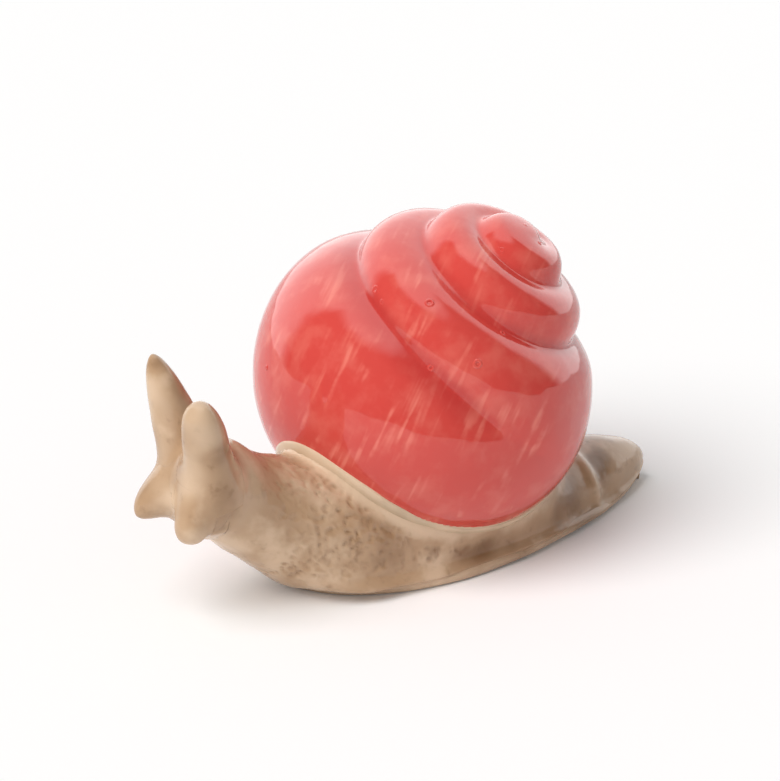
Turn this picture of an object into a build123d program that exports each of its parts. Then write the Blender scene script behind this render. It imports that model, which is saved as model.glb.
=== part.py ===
"""Glazed ceramic snail figurine, as the hand-made pieces that are joined before firing.

Frame: millimetres, +Z up, the snail rests on Z = 0, head towards -X, tail towards +X.
The animal's left side is -Y. The origin lies under the middle of the whole figure.
"""

import os
from math import cos, hypot, radians, sin

from build123d import *

# Foot sole: a slab, round at the front and drawn out to a blunt tail
foot_axis_y = -2.6
sole_height = 2.6
sole_front_x = -17.8
sole_front_radius = 7.5
sole_widest_x = 2.0
sole_half_width = 10.9
sole_tail_x = 35.6
sole_tail_radius = 1.5
sole_top_round = 1.1
sole_edge_bevel = 0.4

# Body: the back under the shell, the ridge of the tail, the neck and the head
back_inset = 0.5
back_height = 8.0
tail_ridge_x = 22.5
tail_ridge_height = 5.2
tail_ridge_end_gap = 0.3
tail_ridge_shares = (0.93, 0.75, 0.45, 0.0)
neck_base_x = -13.3
neck_base_z = 5.5
neck_base_slope = 31.5
neck_base_half_height = 7.0
neck_base_half_width = 8.4
neck_x = -21.5
neck_z = 10.8
neck_slope = 42.0
neck_half_height = 5.5
neck_half_width = 5.8
head_x = -28.7
head_z = 16.2
head_radius = 5.5

# Shell: a ball wound with a spiral groove, its apex leaning to the left and to the tail
shell_x = 4.0
shell_y = 0.0
shell_sink = 0.86
shell_radius = 20.1
shell_flatness = 0.9
shell_base_flatness = 0.88
spire_rise = 0.25
spire_sharpness = 8
shell_tilt = 31.0
shell_lean = -47.0
ball_polars = (165, 140, 115, 90, 65, 45, 28, 14, 5)

# Groove: its polar angle grows with each turn, and it fades in at the apex and out on the body whorl
groove_start = 0.3
groove_turns = 3.5
groove_phase = -9.0
groove_pitch = 10.6
groove_growth = 0.75
groove_depth = 2.6
groove_full_turns = 3.0
groove_depth_growth = 0.28
groove_rise_turns = 0.5
groove_fade_turns = 0.2
groove_droop_turn = 3.2
groove_droop_rate = 200.0
groove_clearance = 0.25
groove_cover = 3.0
body_whorl_ramp_turns = 0.5
body_whorl_shoulder = 36.0
stations_per_turn = 8

# Mantle collar: the pale lip of clay pressed into the seam between shell and body
collar_thickness = 1.3
collar_width = 1.5

# Eye stalks and feelers: where each leaves the head, where it ends and how thick it is
stalk_root_x = -29.3
stalk_root_z = 18.0
stalk_root_spread = 2.9
stalk_tip_spread = 4.6
stalk_base_radius = 2.9
left_stalk_tip_x = -32.1
left_stalk_tip_z = 28.5
left_stalk_tip_radius = 1.7
right_stalk_tip_x = -31.6
right_stalk_tip_z = 30.6
right_stalk_tip_radius = 1.2
feeler_root_x = -29.9
feeler_root_z = 15.0
feeler_root_spread = 2.7
feeler_tip_spread = 3.8
feeler_base_radius = 2.3
left_feeler_tip_x = -33.7
left_feeler_tip_z = 10.7
left_feeler_tip_radius = 1.4
right_feeler_tip_x = -35.5
right_feeler_tip_z = 12.4
right_feeler_tip_radius = 1.1
tentacle_root_depth = 3.0


def smooth_step(value):
    """A soft ramp from 0 to 1 while the value runs from 0 to 1."""
    held = max(0.0, min(1.0, value))
    return held * held * (3 - 2 * held)


def flank_arc(end_x, end_radius):
    """Radius of the arc from the widest place to a round end, and the point where it touches that end."""
    middle_x = end_x + end_radius * (1 if end_x < sole_widest_x else -1)
    run = middle_x - sole_widest_x
    radius = (run**2 + sole_half_width**2 - end_radius**2) / (2 * (sole_half_width - end_radius))
    share = end_radius / (radius - end_radius)
    touch = (middle_x + share * run, foot_axis_y + share * (radius - sole_half_width))
    return radius, touch


# Foot sole: a round front and a round tail joined by long arcs that meet at the widest place, mirrored
front_touch = flank_arc(sole_front_x, sole_front_radius)[1]
tail_arc_radius, tail_touch = flank_arc(sole_tail_x, sole_tail_radius)
with BuildPart() as foot_sole:
    with BuildSketch() as sole_outline:
        with BuildLine():
            front = TangentArc((sole_front_x, foot_axis_y), front_touch, tangent=(0, 1))
            flank = TangentArc(
                front_touch, (sole_widest_x, foot_axis_y + sole_half_width), tangent=front % 1
            )
            tail = TangentArc(flank @ 1, tail_touch, tangent=flank % 1)
            TangentArc(tail_touch, (sole_tail_x, foot_axis_y), tangent=tail % 1)
            mirror(about=Plane.XZ.offset(-foot_axis_y))
        make_face()
    extrude(amount=sole_height)
    fillet(foot_sole.edges().group_by(Axis.Z)[-1], sole_top_round)
    chamfer(foot_sole.edges().group_by(Axis.Z)[0], sole_edge_bevel)


def tail_half_width(x):
    """Half the width of the body at x behind the widest place, inside the arc of the sole's outline."""
    drop = (tail_arc_radius**2 - (x - sole_widest_x) ** 2) ** 0.5
    return drop - tail_arc_radius + sole_half_width - back_inset


def station(x, z, slope, half_width, half_height):
    """One ellipse across the body, upright or leaning back to face up the neck by its slope."""
    across = Plane(
        origin=(x, foot_axis_y, z),
        x_dir=(0, 1, 0),
        z_dir=(-cos(radians(slope)), 0, sin(radians(slope))),
    )
    with BuildSketch(across) as section:
        Ellipse(half_width, half_height)
    return section.sketch


def body_form(grow):
    """The body as a loft from tail to head, closed by a ball, each section grown by the same amount."""
    ridge_length = sole_tail_x - tail_ridge_end_gap - tail_ridge_x
    sections = []
    for share in tail_ridge_shares:
        x = tail_ridge_x + ridge_length * share
        height = tail_ridge_height * (1 - share**2) ** 0.5
        sections.append(station(x, sole_height, 0, tail_half_width(x) + grow, height + grow))
    sections.append(
        station(sole_widest_x, sole_height, 0, tail_half_width(sole_widest_x) + grow, back_height + grow)
    )
    sections.append(
        station(
            neck_base_x,
            neck_base_z,
            neck_base_slope,
            neck_base_half_width + grow,
            neck_base_half_height + grow,
        )
    )
    sections.append(station(neck_x, neck_z, neck_slope, neck_half_width + grow, neck_half_height + grow))
    sections.append(station(head_x, head_z, neck_slope, head_radius + grow, head_radius + grow))
    with BuildPart() as form:
        loft(sections=sections)
        with Locations((head_x, foot_axis_y, head_z)):
            Sphere(head_radius + grow)
    return form.part


# Body, cut flat where it is pressed on the sole
whole_body = body_form(0)
with BuildPart() as body:
    add(whole_body)
    split(bisect_by=Plane.XY.offset(sole_height), keep=Keep.TOP)

# Axis of the shell: its plane's X direction is the uphill one
shell_axis = (
    sin(radians(shell_tilt)) * cos(radians(shell_lean)),
    sin(radians(shell_tilt)) * sin(radians(shell_lean)),
    cos(radians(shell_tilt)),
)
uphill = (
    -cos(radians(shell_tilt)) * cos(radians(shell_lean)),
    -cos(radians(shell_tilt)) * sin(radians(shell_lean)),
    sin(radians(shell_tilt)),
)
shell_support = shell_radius * hypot(shell_base_flatness * shell_axis[2], uphill[2])
shell_z = sole_height - shell_sink + shell_support
shell_plane = Plane(origin=(shell_x, shell_y, shell_z), x_dir=uphill, z_dir=shell_axis)


def meridian(turn):
    """The plane through the shell's axis at a number of turns, with the axis as its Y."""
    turned = Plane(shell_plane.location * Rotation(0, 0, 360 * turn + groove_phase))
    return Plane(origin=turned.origin, x_dir=turned.x_dir, z_dir=-turned.y_dir)


def dome_point(polar, lift):
    """A point of a meridian at a polar angle from the apex, lifted off the shell's surface."""
    height = cos(radians(polar))
    reach = shell_radius * (1 + spire_rise * max(0.0, height) ** spire_sharpness) + lift
    flatness = shell_flatness if height > 0 else shell_base_flatness
    return (reach * sin(radians(polar)), flatness * reach * height)


def shell_ball(grow):
    """The shell before its groove is cut: a loft through circles from its base to its apex."""
    sections = []
    for polar in ball_polars:
        out, up = dome_point(polar, grow)
        with BuildSketch(shell_plane.offset(up)) as ring:
            Circle(out)
        sections.append(ring.sketch)
    apex = shell_plane.offset(dome_point(0, grow)[1]).origin
    with BuildPart() as ball:
        loft(sections=[*sections, Vertex(apex)])
    return ball.part


def groove_polar(turn):
    """Polar angle of the groove after a number of turns from the apex, on its even spiral."""
    held = max(0.0, turn)
    return groove_pitch * held + groove_growth * held**3


def groove_droop(turn):
    """How far the groove sinks below its even spiral as it runs out on the body whorl."""
    return groove_droop_rate * max(0.0, turn - groove_droop_turn) ** 2


def groove_section(turn):
    """The groove's cusp between two round whorls, closed above the shell's surface."""
    fade_in = smooth_step((turn - groove_start) / groove_rise_turns)
    fade_out = 1 - smooth_step((turn - groove_turns + groove_fade_turns) / groove_fade_turns)
    depth = groove_depth * min(1.0, turn / groove_full_turns) ** groove_depth_growth * fade_in * fade_out
    polar = groove_polar(turn) + groove_droop(turn)
    above = (polar - groove_polar(turn - 1)) / 2
    below = (groove_polar(turn + 1) - groove_polar(turn)) / 2
    on_body_whorl = smooth_step((turn + 1 - groove_turns) / body_whorl_ramp_turns)
    below += (body_whorl_shoulder - below) * on_body_whorl
    halfway = groove_clearance - (depth + groove_clearance) / 4
    top = dome_point(polar - above, groove_clearance)
    bottom = dome_point(polar, -depth)
    foot = dome_point(polar + below, groove_clearance)
    with BuildSketch(meridian(turn)) as section:
        with BuildLine():
            ThreePointArc(top, dome_point(polar - above / 2, halfway), bottom)
            ThreePointArc(bottom, dome_point(polar + below / 2, halfway), foot)
            ThreePointArc(foot, dome_point(polar + (below - above) / 2, groove_cover), top)
        make_face()
    return section.sketch


# Shell, wound by its groove and seated on the body and the sole
groove_steps = round((groove_turns - groove_start) * stations_per_turn)
groove_step = (groove_turns - groove_start) / groove_steps
groove_sections = [groove_section(groove_start + groove_step * step) for step in range(groove_steps + 1)]
plain_ball = shell_ball(0)
with BuildPart() as groove:
    loft(sections=groove_sections)
with BuildPart() as shell:
    add(plain_ball)
    add(groove.part, mode=Mode.SUBTRACT)
    add(body.part, mode=Mode.SUBTRACT)
    split(bisect_by=Plane.XY.offset(sole_height), keep=Keep.TOP)

# Mantle collar, the band that lies within reach of both the shell and the body
near_shell = shell_ball(collar_thickness)
near_body = body_form(collar_width)
with BuildPart() as mantle_collar:
    add(near_shell)
    add(near_body, mode=Mode.INTERSECT)
    add(plain_ball, mode=Mode.SUBTRACT)
    add(body.part, mode=Mode.SUBTRACT)
    split(bisect_by=Plane.XY.offset(sole_height), keep=Keep.TOP)


def tentacle(root, tip, base_radius, tip_radius):
    """A tapered stalk with a rounded tip, turned about the line from its root to its tip."""
    line = Vector(*tip) - Vector(*root)
    along = line.normalized()
    beside = Vector(0, 1, 0).cross(along).normalized()
    lengthwise = Plane(origin=root, x_dir=beside, z_dir=beside.cross(along))
    shoulder = line.length - tip_radius
    with BuildPart() as horn:
        with BuildSketch(lengthwise):
            with BuildLine():
                Polyline(
                    (0, line.length), (0, -tentacle_root_depth), (base_radius, 0), (tip_radius, shoulder)
                )
                RadiusArc((tip_radius, shoulder), (0, line.length), -tip_radius)
            make_face()
        revolve(axis=Axis(root, along))
        add(body.part, mode=Mode.SUBTRACT)
    return horn


def on_side(side, x, spread, z):
    """A point beside the head's middle plane, on the left for -1 and on the right for +1."""
    return (x, foot_axis_y + side * spread, z)


left_eye_stalk = tentacle(
    on_side(-1, stalk_root_x, stalk_root_spread, stalk_root_z),
    on_side(-1, left_stalk_tip_x, stalk_tip_spread, left_stalk_tip_z),
    stalk_base_radius,
    left_stalk_tip_radius,
)
right_eye_stalk = tentacle(
    on_side(1, stalk_root_x, stalk_root_spread, stalk_root_z),
    on_side(1, right_stalk_tip_x, stalk_tip_spread, right_stalk_tip_z),
    stalk_base_radius,
    right_stalk_tip_radius,
)
left_feeler = tentacle(
    on_side(-1, feeler_root_x, feeler_root_spread, feeler_root_z),
    on_side(-1, left_feeler_tip_x, feeler_tip_spread, left_feeler_tip_z),
    feeler_base_radius,
    left_feeler_tip_radius,
)
right_feeler = tentacle(
    on_side(1, feeler_root_x, feeler_root_spread, feeler_root_z),
    on_side(1, right_feeler_tip_x, feeler_tip_spread, right_feeler_tip_z),
    feeler_base_radius,
    right_feeler_tip_radius,
)

pieces = {
    "foot_sole": foot_sole,
    "body": body,
    "shell": shell,
    "mantle_collar": mantle_collar,
    "left_eye_stalk": left_eye_stalk,
    "right_eye_stalk": right_eye_stalk,
    "left_feeler": left_feeler,
    "right_feeler": right_feeler,
}
os.makedirs("parts", exist_ok=True)
for name, piece in pieces.items():
    piece.part.label = name
    export_step(piece.part, f"parts/{name}.step")
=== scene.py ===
"""Glazed ceramic snail figurine: its looks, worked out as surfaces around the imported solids.

Sizes are millimetres in the part's own frame, with the head towards -X, the tail towards +X, the
animal's left side towards -Y and the floor at Z = 0. Meshes are written in metres.
"""

import logging
from dataclasses import dataclass, field
from enum import Enum, IntEnum
from math import cos, radians, sin, tau
from typing import NamedTuple, Protocol, Sequence

import bpy
import numpy as np
from mathutils import Matrix, Vector


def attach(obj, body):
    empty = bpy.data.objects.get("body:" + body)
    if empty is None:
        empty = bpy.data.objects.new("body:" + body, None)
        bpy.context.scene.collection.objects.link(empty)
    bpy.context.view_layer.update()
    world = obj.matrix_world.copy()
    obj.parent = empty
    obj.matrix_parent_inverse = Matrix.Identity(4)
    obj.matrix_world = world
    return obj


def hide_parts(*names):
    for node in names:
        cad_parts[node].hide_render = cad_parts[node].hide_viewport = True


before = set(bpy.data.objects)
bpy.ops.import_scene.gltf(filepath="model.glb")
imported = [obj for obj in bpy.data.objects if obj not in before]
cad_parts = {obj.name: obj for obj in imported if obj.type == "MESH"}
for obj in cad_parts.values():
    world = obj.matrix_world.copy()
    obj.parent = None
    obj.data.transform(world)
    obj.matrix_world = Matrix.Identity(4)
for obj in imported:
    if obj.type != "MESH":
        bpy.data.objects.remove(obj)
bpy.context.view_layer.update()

MM = 0.001
BODY_NAME = "root"
BELOW_FLOOR = -10.0
CORNERS = np.stack(np.meshgrid([0, 1], [0, 1], [0, 1], indexing="ij"), -1).reshape(-1, 3)
NEIGHBOURS = np.stack(np.meshgrid([-1, 0, 1], [-1, 0, 1], [-1, 0, 1], indexing="ij"), -1).reshape(-1, 3)
HASH_PRIMES = (73856093, 19349663, 83492791, 2654435761)
HASH_MIX = 0x45D9F3B
HASH_MASK = 0xFFFFFFFF

Colour = tuple[float, float, float, float]
log = logging.getLogger("snail")


class Slot(Enum):
    """Material slot names."""

    SOLE = "sole_glaze"
    BODY = "body_glaze"
    COLLAR = "collar_glaze"
    SHELL = "shell_glaze"


class Draw(IntEnum):
    """Number fields of the noise, one for each use. Pits and bent places draw from three in a row."""

    RIPPLE = 3
    FINE_RIPPLE = 4
    PIT_PATCH = 5
    LUMP = 7
    FINE_LUMP = 9
    LIP_WAVE = 11
    SOLE_POOL = 13
    SPOT_EDGE = 17
    PIT = 21
    FINGER_MARK = 31
    HEAD_TONE = 33
    COLLAR_WIDTH = 41
    COLLAR_THICKNESS = 43
    COLLAR_POOL = 45
    PIT_BEND = 51
    GRAIN = 61


def smooth_step(value: np.ndarray) -> np.ndarray:
    """Ramp softly from 0 to 1 as the value runs from 0 to 1: 3 h squared less 2 h cubed."""
    held = np.clip(value, 0.0, 1.0)
    return held * held * (3 - 2 * held)


def ramp(value: np.ndarray, ends: tuple[float, float]) -> np.ndarray:
    """Ramp softly from 0 to 1 as the value runs from the first end to the second."""
    return smooth_step((value - ends[0]) / (ends[1] - ends[0]))


def smooth_through(x: np.ndarray, knots: np.ndarray, heights: np.ndarray) -> np.ndarray:
    """Pass a curve through knots with no overshoot.

    Each stretch is a cubic, and its slope at an inner knot is the harmonic mean of the slopes beside
    it, or level where these have different signs.

    Args:
        x: Places where the curve is wanted, held to the span of the knots.
        knots: Places of the knots, rising.
        heights: Values at the knots.

    Returns:
        The curve's values at x.
    """
    step = np.diff(knots)
    rise = np.diff(heights) / step
    product = rise[:-1] * rise[1:]
    summed = np.where(product > 0, rise[:-1] + rise[1:], 1.0)
    inner = np.where(product > 0, 2 * product / summed, 0.0)
    slope = np.concatenate([rise[:1], inner, rise[-1:]])
    at = np.clip(np.searchsorted(knots, x) - 1, 0, len(step) - 1)
    share = np.clip((x - knots[at]) / step[at], 0.0, 1.0)
    blend = smooth_step(share)
    rising = share * (1 - share) ** 2 * step[at] * slope[at]
    falling = share**2 * (share - 1) * step[at] * slope[at + 1]
    return heights[at] * (1 - blend) + heights[at + 1] * blend + rising + falling


def lattice_number(cells: np.ndarray, seed: int) -> np.ndarray:
    """Give each whole-number cell a number from 0 to 1 by mixing its counts with primes.

    Args:
        cells: Cell counts, three to a point.
        seed: Picks one of many number fields.

    Returns:
        One number for each point.
    """
    mixed = cells[..., 0] * HASH_PRIMES[0] ^ cells[..., 1] * HASH_PRIMES[1]
    mixed = (mixed ^ cells[..., 2] * HASH_PRIMES[2] ^ seed * HASH_PRIMES[3]) & HASH_MASK
    mixed = ((mixed >> 16 ^ mixed) * HASH_MIX) & HASH_MASK
    mixed = ((mixed >> 16 ^ mixed) * HASH_MIX) & HASH_MASK
    return (mixed >> 16 ^ mixed) / HASH_MASK


def soft_noise(points: np.ndarray, size: float, seed: int) -> np.ndarray:
    """Smooth noise from -1 to 1: cell-corner numbers blended by soft ramps.

    Args:
        points: Points in millimetres.
        size: Cell size in millimetres.
        seed: Picks the number field.

    Returns:
        One value for each point.
    """
    scaled = points / size
    cell = np.floor(scaled).astype(np.int64)
    part = smooth_step(scaled - cell)
    total = np.zeros(points.shape[:-1])
    for corner in CORNERS:
        weight = np.prod(np.where(corner == 1, part, 1 - part), axis=-1)
        total += weight * lattice_number(cell + corner, seed)
    return 2 * total - 1


def cell_distance(points: np.ndarray, size: float, seed: int) -> np.ndarray:
    """Distance to the nearest of seeds scattered one to a cell, counted in cells.

    Args:
        points: Points in millimetres.
        size: Cell size in millimetres.
        seed: Picks the number field.

    Returns:
        One distance for each point.
    """
    scaled = points / size
    cell = np.floor(scaled).astype(np.int64)
    nearest = np.full(points.shape[:-1], np.inf)
    for neighbour in NEIGHBOURS:
        home = cell + neighbour
        spot = home + np.stack([lattice_number(home, seed + k) for k in range(3)], -1)
        nearest = np.minimum(nearest, np.linalg.norm(scaled - spot, axis=-1))
    return nearest


def ring_normals(rings: np.ndarray) -> np.ndarray:
    """Unit normals of rings of points, away from each ring's middle.

    The normal is the cross product of the steps along a ring and across the rings.

    Args:
        rings: Points by ring, by place in the ring.

    Returns:
        Unit vectors of the same layout.
    """
    along = np.roll(rings, -1, axis=1) - np.roll(rings, 1, axis=1)
    across = np.gradient(rings, axis=0)
    normal = np.cross(along, across)
    normal /= np.linalg.norm(normal, axis=-1, keepdims=True) + 1e-12
    outward = np.sum(normal * (rings - rings.mean(axis=1, keepdims=True)))
    return normal if outward > 0 else -normal


class Island(NamedTuple):
    """Rings of points for one closed skin, with two poles to close its ends, or none for a ring of rings."""

    rings: np.ndarray
    poles: np.ndarray | None
    values: dict[str, np.ndarray]


def skin(island: Island) -> tuple[np.ndarray, np.ndarray, np.ndarray]:
    """Join neighbouring rings by quads, and close the end rings with fans of triangles at the poles.

    Args:
        island: Points in millimetres, by ring, by place in the ring.

    Returns:
        The points, the quads and the triangles, facing outwards.
    """
    rows, columns = island.rings.shape[:2]
    points = island.rings.reshape(-1, 3)
    index = np.arange(rows * columns).reshape(rows, columns)
    after = np.roll(index, -1, axis=1)
    if island.poles is None:
        index, after = np.vstack([index, index[:1]]), np.vstack([after, after[:1]])
    quads = np.stack([index[:-1], after[:-1], after[1:], index[1:]], -1).reshape(-1, 4)
    fans = np.empty((0, 3), int)
    if island.poles is not None:
        first, last = np.full(columns, len(points)), np.full(columns, len(points) + 1)
        fans = np.vstack(
            [np.stack([first, after[0], index[0]], -1), np.stack([last, index[-1], after[-1]], -1)]
        )
        points = np.vstack([points, island.poles])
    halves = np.vstack([quads[:, [0, 1, 2]], quads[:, [0, 2, 3]], fans])
    a, b, c = (points[halves[:, k]] - points.mean(axis=0) for k in range(3))
    if np.sum(a * np.cross(b, c)) < 0:
        quads, fans = quads[:, ::-1], fans[:, ::-1]
    return points, quads, fans


def carried(island: Island, key: str) -> np.ndarray:
    """One row of values for each point of an island, its poles taking the mean of their ring."""
    value = island.values[key]
    flat = value.reshape(value.shape[0] * value.shape[1], -1)
    ends = [] if island.poles is None else [value[0].mean(axis=0), value[-1].mean(axis=0)]
    return np.vstack([flat, *(np.reshape(end, (1, -1)) for end in ends)])


def mesh_piece(name: str, islands: list[Island]) -> bpy.types.Object:
    """Write islands as one mesh, with the values that they carry as point attributes.

    Args:
        name: Name of the object and its mesh.
        islands: Closed skins, all with the same named values.

    Returns:
        The object, at the origin, linked to the scene.
    """
    skins = [skin(island) for island in islands]
    counts = np.cumsum([0, *(len(points) for points, _, _ in skins)])
    points = np.vstack([points for points, _, _ in skins])
    quads = np.vstack([quads + start for (_, quads, _), start in zip(skins, counts)])
    fans = np.vstack([fans + start for (_, _, fans), start in zip(skins, counts)])
    mesh = bpy.data.meshes.new(name)
    mesh.vertices.add(len(points))
    mesh.vertices.foreach_set("co", (points * MM).astype(np.float32).ravel())
    loops = np.concatenate([quads.ravel(), fans.ravel()]).astype(np.int32)
    starts = np.concatenate([np.arange(len(quads)) * 4, quads.size + np.arange(len(fans)) * 3])
    mesh.loops.add(len(loops))
    mesh.loops.foreach_set("vertex_index", loops)
    mesh.polygons.add(len(starts))
    mesh.polygons.foreach_set("loop_start", starts.astype(np.int32))
    mesh.polygons.foreach_set("use_smooth", np.ones(len(starts), dtype=bool))
    mesh.update(calc_edges=True)
    for key in islands[0].values:
        flat = np.vstack([carried(island, key) for island in islands]).astype(np.float32)
        is_vector = flat.shape[1] == 3
        layer = mesh.attributes.new(key, "FLOAT_VECTOR" if is_vector else "FLOAT", "POINT")
        layer.data.foreach_set("vector" if is_vector else "value", flat.ravel())
    piece = bpy.data.objects.new(name, mesh)
    bpy.context.scene.collection.objects.link(piece)
    return piece


def settle(piece: bpy.types.Object, node: str, material: bpy.types.Material) -> None:
    """Dress a piece, ride it on the figure's one body and let it stand for its CAD node.

    Args:
        piece: The finished mesh.
        node: The CAD node that it stands for.
        material: Its glaze.
    """
    piece.data.materials.append(material)
    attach(piece, BODY_NAME)
    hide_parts(node)
    log.info("%s stands for %s with %d faces", piece.name, node, len(piece.data.polygons))


class Paint:
    """The nodes of a material or of the surroundings, added from left to right."""

    def __init__(self, owner: bpy.types.Material | bpy.types.World) -> None:
        """Start with the empty nodes of a material or of the surroundings."""
        owner.use_nodes = True
        self.owner = owner
        self.tree = owner.node_tree
        self.tree.nodes.clear()

    def add(self, kind: str, inputs: dict | None = None, **settings) -> bpy.types.Node:
        """Add a node, set its options and fill its sockets with values or links.

        Args:
            kind: Type of the node.
            inputs: Values or output sockets, by the input's name or number.
            **settings: Options of the node.

        Returns:
            The new node.
        """
        node = self.tree.nodes.new(kind)
        for key, value in settings.items():
            setattr(node, key, value)
        for key, value in (inputs or {}).items():
            if isinstance(value, bpy.types.NodeSocket):
                self.tree.links.new(value, node.inputs[key])
            else:
                node.inputs[key].default_value = value
        return node

    def place(self, scale: float) -> bpy.types.NodeSocket:
        """Object coordinates times a scale."""
        coordinates = self.add("ShaderNodeTexCoord").outputs["Object"]
        sockets = {"Vector": coordinates, "Scale": (scale, scale, scale)}
        return self.add("ShaderNodeMapping", sockets).outputs["Vector"]

    def value(self, name: str) -> bpy.types.NodeSocket:
        """A number that the mesh carries at its points."""
        return self.add("ShaderNodeAttribute", attribute_name=name).outputs["Fac"]

    def vector(self, name: str, scale: tuple[float, float, float]) -> bpy.types.NodeSocket:
        """A vector that the mesh carries at its points, times a scale for each axis."""
        held = self.add("ShaderNodeAttribute", attribute_name=name).outputs["Vector"]
        return self.add("ShaderNodeMapping", {"Vector": held, "Scale": scale}).outputs["Vector"]

    def noise(self, vector: bpy.types.NodeSocket, detail: float) -> bpy.types.NodeSocket:
        """Cloudy noise about one half, with cells of one unit of the vector."""
        sockets = {"Vector": vector, "Scale": 1.0, "Detail": detail}
        return self.add("ShaderNodeTexNoise", sockets).outputs["Fac"]

    def ramp(
        self, value: bpy.types.NodeSocket, low: float, high: float, most: float = 1.0
    ) -> bpy.types.NodeSocket:
        """Soft ramp from 0 to most while the value runs from low to high."""
        sockets = {"Value": value, "From Min": low, "From Max": high, "To Max": most}
        return self.add("ShaderNodeMapRange", sockets, interpolation_type="SMOOTHSTEP").outputs["Result"]

    def math(
        self, operation: str, first: bpy.types.NodeSocket, second: bpy.types.NodeSocket | float
    ) -> bpy.types.NodeSocket:
        """Work out one number from two."""
        return self.add("ShaderNodeMath", {0: first, 1: second}, operation=operation).outputs[0]

    def mix(
        self,
        factor: bpy.types.NodeSocket,
        first: bpy.types.NodeSocket | Colour,
        second: bpy.types.NodeSocket | Colour,
    ) -> bpy.types.NodeSocket:
        """Blend from the first colour to the second by the factor."""
        sockets = {0: factor, 6: first, 7: second}
        return self.add("ShaderNodeMix", sockets, data_type="RGBA").outputs[2]

    def bump(self, height: bpy.types.NodeSocket, distance: float, strength: float) -> bpy.types.NodeSocket:
        """Normal tilted by a height field, with its depth in metres."""
        sockets = {"Height": height, "Distance": distance, "Strength": strength}
        return self.add("ShaderNodeBump", sockets).outputs["Normal"]

    def glaze(
        self,
        colour: bpy.types.NodeSocket,
        normal: bpy.types.NodeSocket,
        roughness: float,
        ior: float,
    ) -> bpy.types.Material:
        """Close the material as one glossy glaze.

        Args:
            colour: Colour of the glaze.
            normal: Its tilted normal.
            roughness: How blurred its gloss is.
            ior: Index of refraction, which sets how strong its gloss is.

        Returns:
            The finished material.
        """
        sockets = {"Base Color": colour, "Normal": normal, "Roughness": roughness, "IOR": ior}
        shader = self.add("ShaderNodeBsdfPrincipled", sockets).outputs["BSDF"]
        self.add("ShaderNodeOutputMaterial", {"Surface": shader})
        return self.owner


@dataclass(frozen=True)
class CoralGlaze:
    """Coral red glaze of the shell, brushed on in steep strokes."""

    coral: Colour = (0.66, 0.068, 0.054, 1.0)
    deep: Colour = (0.46, 0.026, 0.024, 1.0)
    peach: Colour = (0.88, 0.27, 0.2, 1.0)
    broad_brush: tuple[float, float, float] = (0.4, 0.12, 0.12)
    fine_brush: tuple[float, float, float] = (1.3, 0.15, 0.15)
    rim_brush: tuple[float, float, float] = (2.6, 0.16, 0.0)
    blotch_scale: float = 300.0
    peel_scale: float = 420.0
    roughness: float = 0.06
    ior: float = 1.5

    def material(self) -> bpy.types.Material:
        """Pale strokes by noise stretched along the brush, lines by the rim, deep glaze in the groove, and
        painted shade in the middle of each pinhole.
        """
        paint = Paint(bpy.data.materials.new("coral_glaze"))
        broad = paint.noise(paint.vector("brush", self.broad_brush), 2.0)
        fine = paint.noise(paint.vector("brush", self.fine_brush), 1.0)
        blotch = paint.noise(paint.place(self.blotch_scale), 3.0)
        strokes = paint.math("MULTIPLY", paint.ramp(broad, 0.34, 0.7), paint.ramp(fine, 0.42, 0.74))
        strokes = paint.math("MULTIPLY", strokes, paint.ramp(blotch, 0.28, 0.6))
        strokes = paint.math("MULTIPLY", strokes, paint.value("wear"))
        colour = paint.mix(paint.ramp(blotch, 0.42, 0.72, 0.22), self.coral, self.peach)
        colour = paint.mix(paint.ramp(strokes, 0.0, 0.75, 0.5), colour, self.peach)
        lines = paint.ramp(paint.noise(paint.vector("sweep", self.rim_brush), 2.0), 0.5, 0.66)
        lines = paint.math("MULTIPLY", lines, paint.ramp(paint.value("rim"), 0.05, 0.5))
        colour = paint.mix(paint.ramp(lines, 0.0, 1.0, 0.5), colour, self.peach)
        # Deep glaze in the groove; in each crater's middle the same colour is painted shade in place of the
        # pinhole's hollow.
        colour = paint.mix(paint.ramp(paint.value("groove_and_painted_hole_shade"), 0.7, 1.0, 0.55), colour, self.deep)
        peel = paint.noise(paint.place(self.peel_scale), 1.0)
        return paint.glaze(colour, paint.bump(peel, 0.0004, 0.1), self.roughness, self.ior)


@dataclass(frozen=True)
class TanGlaze:
    """Tan glaze that breaks cream on raised clay and pools brown in the dents, and also takes painted light
    and shade from the pieces.
    """

    name: str
    tan: Colour = (0.48, 0.305, 0.18, 1.0)
    brown: Colour = (0.22, 0.11, 0.048, 1.0)
    cream: Colour = (0.76, 0.56, 0.39, 1.0)
    mottle: float = 0.4
    cloud_scale: float = 150.0
    speck_scale: float = 620.0
    roughness: float = 0.14
    ior: float = 1.43

    def material(self) -> bpy.types.Material:
        """Clouds of brown and cream over tan, with cream on raised clay and brown where glaze pools, and the
        pieces' painted light and shade.
        """
        paint = Paint(bpy.data.materials.new(self.name))
        cloud = paint.noise(paint.place(self.cloud_scale), 4.0)
        speck = paint.noise(paint.place(self.speck_scale), 3.0)
        colour = paint.mix(paint.ramp(cloud, 0.52, 0.74, self.mottle), self.tan, self.brown)
        colour = paint.mix(paint.ramp(cloud, 0.48, 0.3, 0.7), colour, self.cream)
        colour = paint.mix(paint.ramp(speck, 0.58, 0.76, self.mottle), colour, self.brown)
        # This value mixes glaze pooling with painted light and shade: above zero it darkens towards brown,
        # below zero it lightens towards cream.
        pool_and_painted_light = paint.value("pool_and_painted_light")
        colour = paint.mix(paint.ramp(pool_and_painted_light, 0.0, 1.0, 0.9), colour, self.brown)
        colour = paint.mix(paint.ramp(pool_and_painted_light, 0.0, -1.0, 0.8), colour, self.cream)
        return paint.glaze(colour, paint.bump(speck, 0.0003, 0.15), self.roughness, self.ior)


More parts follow.
